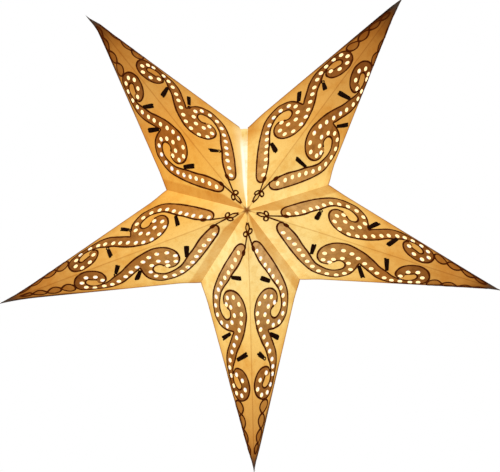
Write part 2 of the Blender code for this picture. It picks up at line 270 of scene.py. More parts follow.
LINKS = (
    ((227.9, 18), (229.5, 23.3), (234.5, 24), (239.5, 20.8),
     (243.3, 15.3), (240, 12.3), (235.5, 11.2), (231, 13.3)),
    ((243.7, 15), (247.5, 18.2), (253.5, 18.1), (258.5, 15.6),
     (261, 12.6), (257, 9.6), (251.5, 8.4), (246.5, 10.6)),
    ((261.3, 12.3), (264.5, 13.6), (269, 12.8), (274, 10),
     (277.5, 7), (273.5, 5), (268.5, 4.9), (264.5, 7.5)),
    ((277.7, 6.8), (282.5, 7.3), (287.5, 5.4), (290.8, 2.4), (287.5, 1.1), (283, 1.3), (279.5, 3.5)),
)
# Each facet's own hand: how far its holes stray, how far its lines stray, and where its bead and its buds
# are. A stray is a shift in millimetres and its growth per 100 mm along the facet and per 30 mm across it.
HANDS = {
    ("bottom", 1): (
        (0.4, -0.5, -3, 0.7, 0.6, 1.4), (-1.6, 0.9, -2.1, -0.1, 1.6, 0.6),
        (45.4, 9.3), ((89.2, 31.5), (81.8, 16.3), (149.6, 30.2), (159, 46.3), (177.6, 22.3), (166.5, 9.8)),
    ),
    ("bottom", -1): (
        (0.8, 2.4, -3, -0.1, -0.2, 1.1), (-0.5, 1.2, -2.4, 0.7, 0, 1.3),
        (48.7, 11.7), ((83.1, 28.7), (81.9, 12), (148.7, 32.9), (157.9, 48.3), (177.6, 23.1), (166.5, 5.1)),
    ),
    ("right", -1): (
        (2.3, 4.3, -0.6, 0.6, 0.5, 2.4), (1.2, 1.1, 0.3, 2, -0.7, 3.3),
        (46.6, 9.3), ((93.5, 35.4), (90.1, 18.1), (148.7, 30.8), (161.8, 49.2), (180.3, 24.8), (171.3, 5.2)),
    ),
    ("right", 1): (
        (2, 0.3, -0.6, 0.5, 1, 1.8), (0.6, 2.5, -1, -0.8, -0.8, 0.9),
        (42.6, 10.7), ((90.2, 36.4), (83, 16.9), (146.4, 31.1), (160.4, 46), (181.8, 29), (169.7, 13.3)),
    ),
    ("upper_right", -1): (
        (1.4, 3.9, -0.3, 2.4, 1.1, 3.4), (1.4, 2.2, 0.8, 2, 0.5, 2.5),
        (50.8, 9), ((89.5, 34.8), (86.4, 12.5), (149.3, 36.7), (163.6, 52.9), (182.6, 27.5), (175, 5.7)),
    ),
    ("upper_right", 1): (
        (-0.3, -0.6, -0.2, 2, 0.1, 0.5), (-0.8, 1, -0.6, 0.2, 2, 0.8),
        (40.8, 8.1), ((87.9, 31.9), (78.8, 15.6), (147, 36.4), (160.9, 46), (180.6, 25.2), (169.4, 11.1)),
    ),
    ("upper_left", -1): (
        (-0.1, -0.1, 1.7, -0.9, -0.9, -0.6), (1.5, 0.6, 0.5, -0.9, -2, -1.4),
        (48.2, 8.1), ((80.1, 26.9), (87.4, 12.4), (146.6, 30.7), (163.4, 44.7), (182.5, 24.7), (173, 7.2)),
    ),
    ("upper_left", 1): (
        (-0.3, -0.5, 1.3, -0.1, -0.7, -0.6), (1, -0.5, 0.6, 0.6, 1, 0.2),
        (40.9, 5.8), ((95.2, 34.7), (84.1, 19.2), (149.7, 28), (162.1, 45.2), (182.9, 25.8), (171.7, 10.1)),
    ),
    ("left", -1): (
        (-2, -1.7, -1.7, 0.5, 1.1, 1.2), (-1, 1.1, -2.1, -0.2, -1.2, 0.5),
        (51.6, 13.8), ((88.4, 33.3), (85.6, 14.7), (143.8, 37.2), (158.9, 47.8), (175.3, 24.8), (170, 5.8)),
    ),
    ("left", 1): (
        (-1.4, 0.9, -2.3, -1.3, 0.6, -0.1), (1, -1.3, -2, -0.2, 3, 1),
        (43.5, 6.1), ((93.1, 34.1), (84.1, 16.2), (148.5, 29), (160.9, 42.3), (177.7, 23.3), (166, 8.1)),
    ),
}


def flowing(stops, closed=False):
    """A smooth line through stops, as places about a millimetre apart."""
    count = len(stops)
    line = []
    for index in range(count if closed else count - 1):
        start = stops[index]
        end = stops[(index + 1) % count]
        before = stops[index - 1] if closed or index else start
        after = stops[(index + 2) % count] if closed or index + 2 < count else end
        steps = max(2, round((end - start).length / LINE_STEP))
        handles = (start + (end - before) / 6, end - (after - start) / 6)
        line += interpolate_bezier(start, *handles, end, steps + 1)[:-1]
    if not closed:
        line.append(stops[-1])
    return line


def kept_on(place, clear):
    """A place moved in from the facet's ridge and silhouette edge where it is nearer to them than clear."""
    place = Vector(place)
    short = clear - (place - Vector((RIDGE, 0))).dot(EDGE_INWARD)
    if short > 0:
        place += EDGE_INWARD * short
    place.y = max(place.y, clear / 2)
    return place


def kept_clear(place, ring, clear):
    """A hole's place, moved until the hole is clear of the painted ring round it."""
    corners = np.array(ring)
    following = np.roll(corners, -1, 0)
    for _ in range(CLEARING_ROUNDS):
        crosses = (corners[:, 1] > place.y) != (following[:, 1] > place.y)
        starts, ends = corners[crosses], following[crosses]
        slopes = (ends[:, 0] - starts[:, 0]) / (ends[:, 1] - starts[:, 1])
        inside = np.count_nonzero(starts[:, 0] + slopes * (place.y - starts[:, 1]) > place.x) % 2
        gaps = np.array(place) - corners
        nearest = int(np.argmin((gaps**2).sum(1)))
        gap = Vector(gaps[nearest])
        if inside and gap.length >= clear:
            break
        if not inside:
            gap.negate()
        place = Vector(corners[nearest]) + gap.normalized() * clear * CLEARING_OVERRUN
    return place


def spread(places):
    """Holes moved apart where they are nearer to each other than the paper between them allows."""
    places = [place.copy() for place in places]
    for index, place in enumerate(places):
        for other in places[:index]:
            gap = place - other
            short = 2 * PUNCH_RADIUS + PUNCH_WEB - gap.length
            if short > 0:
                step = gap.normalized() * short / 2
                place += step
                other -= step
    return places


def ring_round(middle, radius, sides):
    """A round outline."""
    turns = [2 * pi * step / sides for step in range(sides)]
    return [middle + Vector((cos(turn), sin(turn))) * radius for turn in turns]


class Pattern:
    """One facet's pattern: the lines that are drawn on it and the holes that are punched in it."""

    def __init__(self, hand, lift):
        hole_stray, line_stray, bead, buds = hand
        self.line_stray = line_stray
        self.bead = Vector(bead) / 1000
        self.buds = [(Vector(base) / 1000, Vector(head) / 1000) for base, head in zip(buds[::2], buds[1::2])]
        self.pod_and_back = self.drawn(POD_AND_BACK)
        self.stem_and_curl = self.drawn(STEM_AND_CURL)
        self.inner_side = self.drawn(INNER_SIDE)
        self.links = [self.drawn([(x, y + lift) for x, y in link], True) for link in LINKS]
        end = [kept_on(place, LINE_CLEAR) for place in self.strayed(CURL_END, line_stray)]
        small_end = self.drawn(SMALL_CURL_END)[1:-1]
        self.scroll = self.pod_and_back + small_end + self.stem_and_curl + end + self.inner_side[:-1]
        self.holes = self.strayed(PUNCHED, hole_stray)
        for _ in range(PUNCH_ROUNDS):
            places = [kept_on(place, PUNCH_RADIUS + PUNCH_EDGE) for place in spread(self.holes)]
            self.holes = [kept_clear(place, self.scroll, PUNCH_RADIUS + PUNCH_CLEAR) for place in places]

    @staticmethod
    def strayed(stops, stray):
        """Where a hand puts the pattern's places, in metres."""
        places = []
        for x, y in stops:
            along, across = (x - STRAY_MIDDLE[0]) / STRAY_SPANS[0], (y - STRAY_MIDDLE[1]) / STRAY_SPANS[1]
            shift = [stray[axis] + stray[2 + axis] * along + stray[4 + axis] * across for axis in (0, 1)]
            places.append(Vector((x + shift[0], y + shift[1])) / 1000)
        return places

    def drawn(self, stops, closed=False):
        """A line of the pattern as this facet's hand draws it, kept on the facet."""
        line = flowing(self.strayed(stops, self.line_stray), closed)
        return [kept_on(place, LINE_CLEAR) for place in line]

    def punch_rings(self, slack):
        """The punched holes' outlines, widened by slack."""
        return [ring_round(spot, PUNCH_RADIUS + slack, PUNCH_SIDES) for spot in self.holes]


patterns = {(arm, side): Pattern(hand, LINK_LIFT if side < 0 else 0) for (arm, side), hand in HANDS.items()}


def pattern_key(facet):
    """The back's facets were punched and drawn by other hands than the front's beside them."""
    shift = 2 if facet.face == "back" else 0
    return (ARM_NAMES[(facet.arm + shift) % len(ARM_NAMES)], facet.side)


def bisected(mesh, geometry, spot, across):
    """Cuts flat faces along the line through spot that lies square to across. Both sides stay."""
    bmesh.ops.bisect_plane(mesh, geom=geometry, dist=SNAP, plane_co=spot.to_3d(), plane_no=across.to_3d())


def cut_flat(rings, top, floor, corner_cuts=()):
    """Paper or paint cut to a shape: the first ring is its edge, and the others are holes in it."""
    mesh = bmesh.new()
    for ring in rings:
        corners = [mesh.verts.new((*spot, top)) for spot in ring]
        for pair in zip(corners, corners[1:] + corners[:1]):
            mesh.edges.new(pair)
    bmesh.ops.triangle_fill(mesh, use_beauty=True, edges=mesh.edges[:])
    for step in range(1, int(RIDGE / CELL) + 1):
        for across in (Vector((1, 0)), Vector((0, 1))):
            bisected(mesh, mesh.verts[:] + mesh.edges[:] + mesh.faces[:], across * step * CELL, across)
    for back in corner_cuts:
        for spot, across in (
            (NOTCH - VALLEY_ALONG * back, VALLEY_ALONG),
            (NOTCH + EDGE_INWARD * back, EDGE_INWARD),
        ):
            parts = {}
            for face in mesh.faces:
                if (face.calc_center_median().xy - NOTCH).length < SOFT_CORNER:
                    parts.update(dict.fromkeys((*face.verts, *face.edges, face)))
            bisected(mesh, list(parts), spot, across)
    pushed = bmesh.ops.extrude_face_region(mesh, geom=mesh.faces[:])["geom"]
    lower = [part for part in pushed if isinstance(part, bmesh.types.BMVert)]
    bmesh.ops.translate(mesh, verts=lower, vec=(0, 0, floor - top))
    bmesh.ops.recalc_face_normals(mesh, faces=mesh.faces[:])
    return mesh, lower


def as_mesh(mesh, name):
    """What was modelled, as mesh data."""
    data = bpy.data.meshes.new(name)
    mesh.to_mesh(data)
    mesh.free()
    return data


def flat_drawing(mesh, name):
    """The finished flat drawing, with its own flat places kept as its UV map."""
    data = as_mesh(mesh, name)
    places = data.uv_layers.new(name="flat")
    corners = np.empty(len(data.loops), np.int32)
    data.loops.foreach_get("vertex_index", corners)
    places.data.foreach_set("uv", vertex_places(data)[corners, :2].ravel())
    return data


def facet_outline(corner):
    """The facet's creases as one outline. Its notch corner is whole, or cut off for the cable."""
    outline = [Vector((0, 0)), Vector((RIDGE, 0))]
    if corner == "cut":
        outline += [NOTCH - EDGE_ALONG * CABLE_CORNER, NOTCH - VALLEY_ALONG * CABLE_CORNER]
    else:
        outline.append(NOTCH)
    return outline


def paper_drawing(pattern, corner):
    """One facet's paper: its outer face is the first finish, and its inner face and cut edges the second."""
    corner_cuts = SOFT_CORNER_CUTS if corner == "soft" else ()
    mesh, lower = cut_flat([facet_outline(corner), *pattern.punch_rings(0)], 0, -PAPER, corner_cuts)
    ridge_mitre = PAPER / tan(facets[0].ridge_fold)
    edge_mitre = PAPER / tan(facets[0].edge_fold)
    tip = Vector((RIDGE, 0))
    tip_angle = EDGE_ALONG.angle(Vector((-1, 0)))
    inner_tip = RIDGE - (edge_mitre + ridge_mitre * cos(tip_angle)) / sin(tip_angle)
    for vert in lower:
        if vert.co.y < MERGE:
            vert.co.y += ridge_mitre
        if (vert.co.xy - tip).dot(EDGE_INWARD) < MERGE:
            vert.co.xy = vert.co.xy + EDGE_INWARD * edge_mitre
        if vert.co.x > inner_tip:
            vert.co.xy = (inner_tip, ridge_mitre)
    bmesh.ops.remove_doubles(mesh, verts=mesh.verts[:], dist=MERGE)
    mesh.normal_update()
    for face in mesh.faces:
        face.material_index = 0 if face.normal.z > 0.5 else 1
    return flat_drawing(mesh, "facet_paper_flat")


def both_ways(operation):
    """A signal's two methods for one Math operation: with the signal first, and with it second."""
    return (
        lambda signal, other: signal.nodes.maths(operation, signal, other),
        lambda signal, other: signal.nodes.maths(operation, other, signal),
    )


class Signal:
    """The output of a shader node, with the arithmetic that is done on it."""

    __add__, __radd__ = both_ways("ADD")
    __sub__, __rsub__ = both_ways("SUBTRACT")
    __mul__, __rmul__ = both_ways("MULTIPLY")
    __truediv__, __rtruediv__ = both_ways("DIVIDE")

    def __init__(self, nodes, socket):
        self.nodes = nodes
        self.socket = socket


class Nodes:
    """The nodes of a material or of the world."""

    def __init__(self, tree):
        self.tree = tree

    def plug(self, socket, value):
        """Links a signal to a socket, or sets the socket's own value."""
        if isinstance(value, Signal):
            self.tree.links.new(value.socket, socket)
        elif isinstance(value, tuple) and len(value) == 3 and socket.type == "RGBA":
            socket.default_value = (*value, 1)
        else:
            socket.default_value = value

    def node(self, kind, settings=None, inputs=None, output=0):
        """A node with its settings made first, then its sockets; gives one of its outputs."""
        node = self.tree.nodes.new(kind)
        for key, value in (settings or {}).items():
            if key == "stops":
                elements = node.color_ramp.elements
                while len(elements) < len(value):
                    elements.new(1)
                for element, (position, colour) in zip(elements, value):
                    element.position = position
                    element.color = (*colour, 1)
            else:
                setattr(node, key, value)
        for key, value in (inputs or {}).items():
            self.plug(node.inputs[key], value)
        return Signal(self, node.outputs[output])

    def maths(self, operation, *values):
        return self.node("ShaderNodeMath", {"operation": operation}, dict(enumerate(values)))


class Finish(Nodes):
    """A material with a Principled shader, and the nodes that feed it."""

    def __init__(self, name, **constants):
        self.material = bpy.data.materials.new(name)
        self.material.use_nodes = True
        super().__init__(self.material.node_tree)
        self.shader = self.tree.nodes["Principled BSDF"]
        self.space = self.node("ShaderNodeTexCoord", None, None, 3)
        for key, value in constants.items():
            self.feed(key.title(), value)

    def feed(self, name, value):
        """Sets one of the shader's sockets."""
        self.plug(self.shader.inputs[name], value)

    def axis(self, place, number):
        """One coordinate of a place."""
        return self.node("ShaderNodeSeparateXYZ", None, {0: place}, number)

    def distance_to(self, place):
        """How far each spot of the piece is from a place."""
        return self.node("ShaderNodeVectorMath", {"operation": "DISTANCE"}, {0: self.space, 1: place}, 1)

    def rising(self, signal, low, high):
        """0 below low, 1 above high, and smooth between them."""
        sockets = {"Value": signal, "From Min": low, "From Max": high}
        return self.node("ShaderNodeMapRange", {"interpolation_type": "SMOOTHSTEP"}, sockets)

    def fading(self, signal, low, high):
        """1 below low, 0 above high, and smooth between them."""
        return 1 - self.rising(signal, low, high)

    def noise(self, scale, detail=3.0, roughness=0.5):
        sockets = {"Vector": self.space, "Scale": scale, "Detail": detail, "Roughness": roughness}
        return self.node("ShaderNodeTexNoise", None, sockets)

    def blended(self, blend, colour, amount, other):
        settings = {"data_type": "RGBA", "blend_type": blend}
        return self.node("ShaderNodeMix", settings, {0: amount, 6: colour, 7: other}, 2)

    def tinted(self, colour, amount, tint):
        """A colour multiplied by a tint, as far as amount says."""
        return self.blended("MULTIPLY", colour, amount, tint)

    def covered(self, colour, amount, cover):
        """A colour replaced by another, as far as amount says."""
        return self.blended("MIX", colour, amount, cover)

    def shaded(self, colour, measure, low, high, strength, tint):
        """A colour tinted where a measure is small: fully up to low, and not past high."""
        return self.tinted(colour, self.fading(measure, low, high) * strength, tint)

    def mottled(self, colour, marks, low, high, tint, strength=1.0):
        """A colour with marks of a tint where a noise is above low."""
        return self.tinted(colour, self.rising(self.noise(*marks), low, high) * strength, tint)

    def scaled(self, colour, amount):
        return self.node("ShaderNodeVectorMath", {"operation": "SCALE"}, {"Vector": colour, "Scale": amount})

    def bumped(self, strength, depth, height):
        """Gives the surface a fine relief."""
        sockets = {"Strength": strength, "Distance": depth, "Height": height}
        self.feed("Normal", self.node("ShaderNodeBump", None, sockets))


LAMP_GLOW = (0, 0, -0.125)
GLOW_REACH = 0.360
GLOW_STOPS = (
    (0.050, (1.02, 0.77, 0.32)), (0.090, (1.01, 0.71, 0.24)), (0.120, (0.97, 0.61, 0.172)),
    (0.150, (0.89, 0.495, 0.118)), (0.180, (0.79, 0.402, 0.087)), (0.210, (0.69, 0.340, 0.072)),
    (0.240, (0.59, 0.258, 0.048)), (0.270, (0.46, 0.182, 0.028)), (0.297, (0.27, 0.098, 0.014)),
    (0.335, (0.13, 0.046, 0.005)),
)
LIT_SHARE = 0.42
GLOW_STRENGTH = 0.66
PAPER_ROUGHNESS = 0.85
PAPER_SHEEN = 0.04
PAPER_RELIEF = (0.25, 0.0003)
TOOTH = (900, 3, 0.6)
COARSE_TOOTH = (120, 2, 0.5)
COARSE_TOOTH_SHARE = 1.5
# Clouds, blotches and grain: each noise, between what levels its marks set in, their tint and strength.
MOTTLES = (
    ((32, 4, 0.6), 0.46, 0.66, (0.90, 0.76, 0.54), 0.75),
    ((95, 3, 0.6), 0.47, 0.66, (0.90, 0.80, 0.62), 0.50),
    ((420, 3, 0.7), 0.45, 0.75, (0.84, 0.76, 0.66), 0.35),
)
BROWNER_PATCH_MIDDLE = (-0.082, -0.035, -0.048)
STRANDS = (150, 1, 0.4)
# A shade is the distances between which it fades, its strength and its tint. Of the shades along the
# silhouette edge the first two are painted shade at its fold, and the inked ones also have the lengths along
# the arm between which they set in.
BROWNER_PATCH_FADE = (0.035, 0.110, 1.0, (0.93, 0.72, 0.42))
STRAND_SHADE = (0, 0.012, 0.16, (0.62, 0.48, 0.34))
EDGE_SHADES = (
    (0.0015, 0.0110, 0.60, (0.86, 0.76, 0.62)),
    (0.0006, 0.0021, 0.90, (0.46, 0.32, 0.20)),
    (0.0014, 0.0034, 0.75, (0.34, 0.22, 0.14), 0.175, 0.200),
    (0.0026, 0.0052, 0.90, (0.28, 0.22, 0.19), 0.215, 0.250),
)
# Painted shade towards the tip, nearly black at its very end.
TIP_SHADE_FROM = (0.262, 0.303)
TIP_SHADE_TINT = (0.42, 0.38, 0.46)
TIP_END_SHADE_FROM = (0.286, 0.302)
TIP_END_SHADE_STRENGTH = 0.75
TIP_END_SHADE_COLOUR = (0.070, 0.047, 0.032)


class PaperFinish(Finish):
    """Handmade paper lit from behind. The lamp hangs low in the star, and the glow browns away from it."""

    def __init__(self, name):
        super().__init__(name, roughness=PAPER_ROUGHNESS)
        flat = self.node("ShaderNodeUVMap", {"uv_map": "flat"})
        self.x = self.axis(flat, 0)
        self.y = self.axis(flat, 1)
        self.to_edge = (RIDGE - self.x) * -EDGE_INWARD.x + self.y * EDGE_INWARD.y

    def glow(self):
        """The lamp's light through one layer of paper."""
        stops = [(distance / GLOW_REACH, colour) for distance, colour in GLOW_STOPS]
        reach = self.distance_to(LAMP_GLOW) / GLOW_REACH
        return self.node("ShaderNodeValToRGB", {"stops": stops}, {0: reach})

    def fibres(self, colour):
        """Clouds, grain and short fibres of handmade paper, and one patch where it is browner."""
        for mottle in MOTTLES:
            colour = self.mottled(colour, *mottle)
        colour = self.shaded(colour, self.distance_to(BROWNER_PATCH_MIDDLE), *BROWNER_PATCH_FADE)
        return self.shaded(colour, self.maths("ABSOLUTE", self.noise(*STRANDS) - 0.5), *STRAND_SHADE)

    def edged(self, colour):
        """Painted shade along the silhouette's folded edge, inked towards the tip, and painted shade at the
        tip.
        """
        for low, high, strength, tint, *inked_from in EDGE_SHADES:
            amount = self.fading(self.to_edge, low, high) * strength
            if inked_from:
                amount = amount * self.rising(self.x, *inked_from)
            colour = self.tinted(colour, amount, tint)
        colour = self.tinted(colour, self.rising(self.x, *TIP_SHADE_FROM), TIP_SHADE_TINT)
        return self.covered(colour, self.rising(self.x, *TIP_END_SHADE_FROM) * TIP_END_SHADE_STRENGTH, TIP_END_SHADE_COLOUR)

    def shine_through(self, colour):
        """Splits the colour into what the paper is and what the lamp adds, and gives it its tooth."""
        self.feed("Base Color", self.scaled(colour, LIT_SHARE))
        self.feed("Emission Color", colour)
        self.feed("Emission Strength", GLOW_STRENGTH)
        self.feed("Specular IOR Level", PAPER_SHEEN)
        self.bumped(*PAPER_RELIEF, self.noise(*TOOTH) + self.noise(*COARSE_TOOTH) * COARSE_TOOTH_SHARE)


# The painted light and shade that a facet's place in the star adds to its outer face. A FROM is a stretch
# down the valley over which something sets in, and a SIDE a stretch away from the valley over which it fades.
# Painted shadow of each glued tab on the facet over it: its widest, its taper, its edge, where it pales, how
# much, and its tint.
TAB_SHADOW_WIDTH = 0.0120
TAB_SHADOW_TAPER = 0.34
TAB_SHADOW_SIDE = (-0.0012, 0.0018)
TAB_SHADOW_PALE_FROM = (0.030, 0.085)
TAB_SHADOW_PALE_SHARE = 0.35
TAB_SHADOW_TINT = (0.76, 0.57, 0.38)
HOLDER_SHADE_FROM = (NOTCH.length - 0.034, NOTCH.length - 0.004)
HOLDER_SHADE_SIDE = (0.004, 0.022)
HOLDER_SHADE_TINT = (0.84, 0.68, 0.50)
PLAIN_SIDE = (0, 0.020)
PLAIN_GAIN = 0.14
BESIDE_SEAM_FROM = (0.010, 0.045)
BESIDE_SEAM_SIDE = (0.001, 0.016)
BESIDE_SEAM_STRENGTH = 0.55
BESIDE_SEAM_COLOUR = (1.08, 0.90, 0.50)
SEAM_LIGHT_FROM = (0.006, 0.020)
SEAM_LIGHT_TO = (NOTCH.length - 0.040, NOTCH.length - 0.010)
SEAM_LIGHT_WIDTH = 0.0022
SEAM_LIGHT_TAPER = 0.05
SEAM_LIGHT_FADE = 0.0012
SEAM_LIGHT_SPREAD = 0.022
SEAM_LIGHT_STRENGTH = 0.95
SEAM_LIGHT_COLOUR = (1.20, 1.12, 0.90)
# Painted shade along the ridge crease, round the star's middle, and darkest at the apex where the creases
# meet.
CREASE_SHADE = (0.0002, 0.0014, 0.70, (0.70, 0.58, 0.46))
MIDDLE_SHADE = (0.006, 0.050, 0.60, (0.93, 0.80, 0.62))
APEX_SHADE = (0.0016, 0.0062, 0.94, (0.26, 0.13, 0.07))


class FacetFinish(PaperFinish):
    """A facet's outer face."""

    def __init__(self, name, dressed):
        super().__init__(name)
        self.to_valley = self.x * VALLEY_ALONG.y - self.y * VALLEY_ALONG.x
        self.down_valley = self.x * VALLEY_ALONG.x + self.y * VALLEY_ALONG.y
        colour = dressed(self, self.fibres(self.glow()))
        # Painted shade in the ridge crease, round the middle and at the apex.
        colour = self.shaded(colour, self.y, *CREASE_SHADE)
        colour = self.shaded(colour, self.down_valley, *MIDDLE_SHADE)
        colour = self.shaded(colour, self.down_valley, *APEX_SHADE)
        self.shine_through(self.edged(colour))

    def brighter_valley(self, colour):
        """Brighter along its valley, where light also comes off the next arm."""
        near = self.fading(self.to_valley, *PLAIN_SIDE)
        return self.scaled(colour, near * PLAIN_GAIN + 1)

    def over_tab(self, colour):
        """Darker in a band over the glued tab: painted shadow of the tab behind it."""
        width = self.maths("MINIMUM", self.down_valley * TAB_SHADOW_TAPER, TAB_SHADOW_WIDTH)
        inside = self.fading(self.to_valley - width, *TAB_SHADOW_SIDE)
        strength = 1 - self.rising(self.down_valley, *TAB_SHADOW_PALE_FROM) * TAB_SHADOW_PALE_SHARE
        return self.tinted(colour, inside * strength, TAB_SHADOW_TINT)

    def by_holder(self, colour):
        """Shaded by the lampholder behind its upper corner."""
        shade = self.rising(self.down_valley, *HOLDER_SHADE_FROM)
        return self.tinted(colour, shade * self.fading(self.to_valley, *HOLDER_SHADE_SIDE), HOLDER_SHADE_TINT)

    def at_seam(self, colour):
        """Lit along the open seam, which gapes wider down to its middle."""
        near = self.fading(self.to_valley, *BESIDE_SEAM_SIDE)
        beside = near * self.rising(self.down_valley, *BESIDE_SEAM_FROM)
        colour = self.covered(colour, beside * BESIDE_SEAM_STRENGTH, BESIDE_SEAM_COLOUR)
        full = self.maths("MINIMUM", self.down_valley * SEAM_LIGHT_TAPER, SEAM_LIGHT_WIDTH)
        fade = self.down_valley * SEAM_LIGHT_SPREAD + SEAM_LIGHT_FADE
        wedge = self.fading((self.to_valley - full) / fade, 0, 1)
        light = wedge * self.rising(self.down_valley, *SEAM_LIGHT_FROM)
        light = light * self.fading(self.down_valley, *SEAM_LIGHT_TO)
        return self.covered(colour, light * SEAM_LIGHT_STRENGTH, SEAM_LIGHT_COLOUR)


LINING_COLOUR = (0.96, 0.76, 0.46)
LINING_CLOUDS = ((60, 3, 0.6), 0.45, 0.80, (1.0, 0.90, 0.72), 0.40)
LINING_LIT_SHARE = 0.5
LINING_STRENGTH = 0.95


def lining_finish():
    """The inside of the paper, which faces the lamp. Its glow is painted lamp light."""
    lining = PaperFinish("paper_lining")
    colour = lining.mottled(LINING_COLOUR, *LINING_CLOUDS)
    lining.feed("Base Color", lining.scaled(colour, LINING_LIT_SHARE))
    lining.feed("Emission Color", colour)
    lining.feed("Emission Strength", LINING_STRENGTH)
    return lining.material


def leave_cable_way(panel, facet):
    """Opens the seam's top corner round the cable, as the soft paper bulges there."""
    flat = facet.place.inverted()
    for vert in panel.data.vertices:
        radius = CABLE_WAY if (flat @ vert.co).z < -PAPER / 2 else CABLE_WAY + PAPER
        depth = radius**2 - vert.co.x**2
        if vert.co.z > -CABLE_WAY_DEPTH and depth > 0 and abs(vert.co.y) < depth**0.5:
            vert.co.y = depth**0.5 if facet.face == "back" else -(depth**0.5)


# Plain facets get painted light along their valley, those over a tab its painted shadow, and the seam's two
# painted seam light and the lampholder's painted shadow.
plain_paper = FacetFinish("paper", FacetFinish.brighter_valley).material
tab_shadowed_paper = FacetFinish("paper_over_tab", FacetFinish.over_tab).material
seam_paper = FacetFinish("paper_at_seam", FacetFinish.at_seam).material
shaded_paper = FacetFinish("paper_by_holder", FacetFinish.by_holder).material
lining = lining_finish()
for facet in facets:
    finish = tab_shadowed_paper if facet.side > 0 else plain_paper
    corner = "whole"
    if facet.at_seam:
        finish = shaded_paper if facet.side > 0 else seam_paper
        corner = "soft" if facet.side > 0 else "cut"
    sheet = paper_drawing(patterns[pattern_key(facet)], corner)
    panel = facet.lay(sheet, f"{facet.name}_paper", [finish, lining])
    bpy.data.meshes.remove(sheet)
    if corner == "soft":
        leave_cable_way(panel, facet)
    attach(panel, facet.name)
    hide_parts(facet.name)

# Glue tabs. A strip of the next arm's paper, 9.5 mm wide, is glued behind each closed valley. It follows
# the swell of the facet that it is glued to.
TAB_WIDTH = 0.0095
TAB_END_SHARES = (0.20, 0.34, 0.86, 0.95)
TAB_FROM_CREASE = 0.0003
GLUE = 0.00003


def tab_drawing(end_shares, far, top, floor):
    """A tab drawn flat along a facet's valley. Its other side lies the distance far away from the valley."""
    inward = Vector((VALLEY_ALONG.y, -VALLEY_ALONG.x))
    start, full, narrow, end = (VALLEY_ALONG * share * NOTCH.length for share in end_shares)
    near = inward * TAB_FROM_CREASE
    mesh, _ = cut_flat([[start + near, full + inward * far, narrow + inward * far, end + near]], top, floor)
    return flat_drawing(mesh, "tab_flat")


glue_tab = tab_drawing(TAB_END_SHARES, TAB_WIDTH, -PAPER - GLUE, -2 * PAPER)
for facet in facets:
    if facet.side > 0 and not facet.at_seam:
        node = f"glue_tab_{ARM_NAMES[facet.arm + 1]}_{facet.face}"
        tab = facet.lay(glue_tab, f"{node}_paper", [lining])
        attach(tab, facet.name)
        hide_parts(node)

# Seam tabs. The seam between the two upper arms isn't glued. On its left side a tab of thin paper laps
# behind the right side, and fills the open seam, where the lamp shines through it almost white.
SEAM_TAB_END_SHARES = (0.16, 0.26, 0.56, 0.74)
FILLET_END_SHARES = (0.08, 0.983)
FILLET_ROWS = 60
FILLET_COLUMNS = 10
FILLET_THICKNESS = 0.00018
FILLET_UNDER = 0.0001
FILLET_LAP = 0.0006
FILLET_SHORT = 0.00025
FILLET_PULL = 0.0022
FILLET_PULL_SHARES = (0.3, 0.5)
FILLET_TOP_PULL = 0.0030
FILLET_TOP_SHARES = (0.86, 0.12)
SEAM_TAB_TOP_COLOUR = (1.0, 0.76, 0.30)
SEAM_TAB_TOP = (-0.018, 0.001)


def fillet_place(share, column, front):
    """A place in the open seam: share is how far up it is, column how far across from left to right."""
    half_gap = sin(SEAM_OPENING / 2) * NOTCH_RADIUS * share
    at_top, pulled = (
        min(max((share - start) / rise, 0), 1) for start, rise in (FILLET_TOP_SHARES, FILLET_PULL_SHARES)
    )
    left = -half_gap - FILLET_LAP - FILLET_PULL * pulled - FILLET_TOP_PULL * at_top
    right = half_gap - FILLET_SHORT
    x = left + (right - left) * column
    z = FRONT_APEX.z + NOTCH_RADIUS * cos(SEAM_OPENING / 2) * share
    out = -FRONT_APEX.y * (1 - share) - FILLET_UNDER
    round_cable = (CABLE_WAY + FILLET_UNDER) ** 2 - x**2
    if round_cable > 0:
        out = max(out, round_cable**0.5)
    return Vector((x, -out if front else out, z))


def seam_fillet(front):
    """The strip of the tab that fills the open seam."""
    fillet = bmesh.new()
    bmesh.ops.create_grid(fillet, x_segments=FILLET_COLUMNS, y_segments=FILLET_ROWS, size=0.5)
    low, high = FILLET_END_SHARES
    for vert in fillet.verts:
        vert.co = fillet_place(low + (high - low) * (vert.co.y + 0.5), vert.co.x + 0.5, front)
    bmesh.ops.recalc_face_normals(fillet, faces=fillet.faces[:])
    bmesh.ops.solidify(fillet, geom=fillet.faces[:], thickness=FILLET_THICKNESS)
    for face in fillet.faces:
        face.smooth = True
    return fillet


def seam_tab_finish():
    """Bare thin paper with the lamp close behind it, yellower by the cable."""
    tab = PaperFinish("seam_tab_paper")
    top = tab.rising(tab.axis(tab.space, 2), *SEAM_TAB_TOP)
    tab.shine_through(tab.fibres(tab.covered(SEAM_LIGHT_COLOUR, top, SEAM_TAB_TOP_COLOUR)))
    return tab.material


seam_tab_paper = seam_tab_finish()
loose_tab = tab_drawing(SEAM_TAB_END_SHARES, -TAB_WIDTH, -GLUE, -PAPER)
for facet in facets:
    if facet.at_seam and facet.side < 0:
        tab = facet.lay(loose_tab, f"seam_tab_{facet.face}_paper", [seam_tab_paper])
        fillet = seam_fillet(facet.face == "front")
        fillet.from_mesh(tab.data)
        bmesh.ops.recalc_face_normals(fillet, faces=fillet.faces[:])
        fillet.to_mesh(tab.data)
        fillet.free()
        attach(tab, facet.name)
        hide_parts(f"seam_tab_{facet.face}")

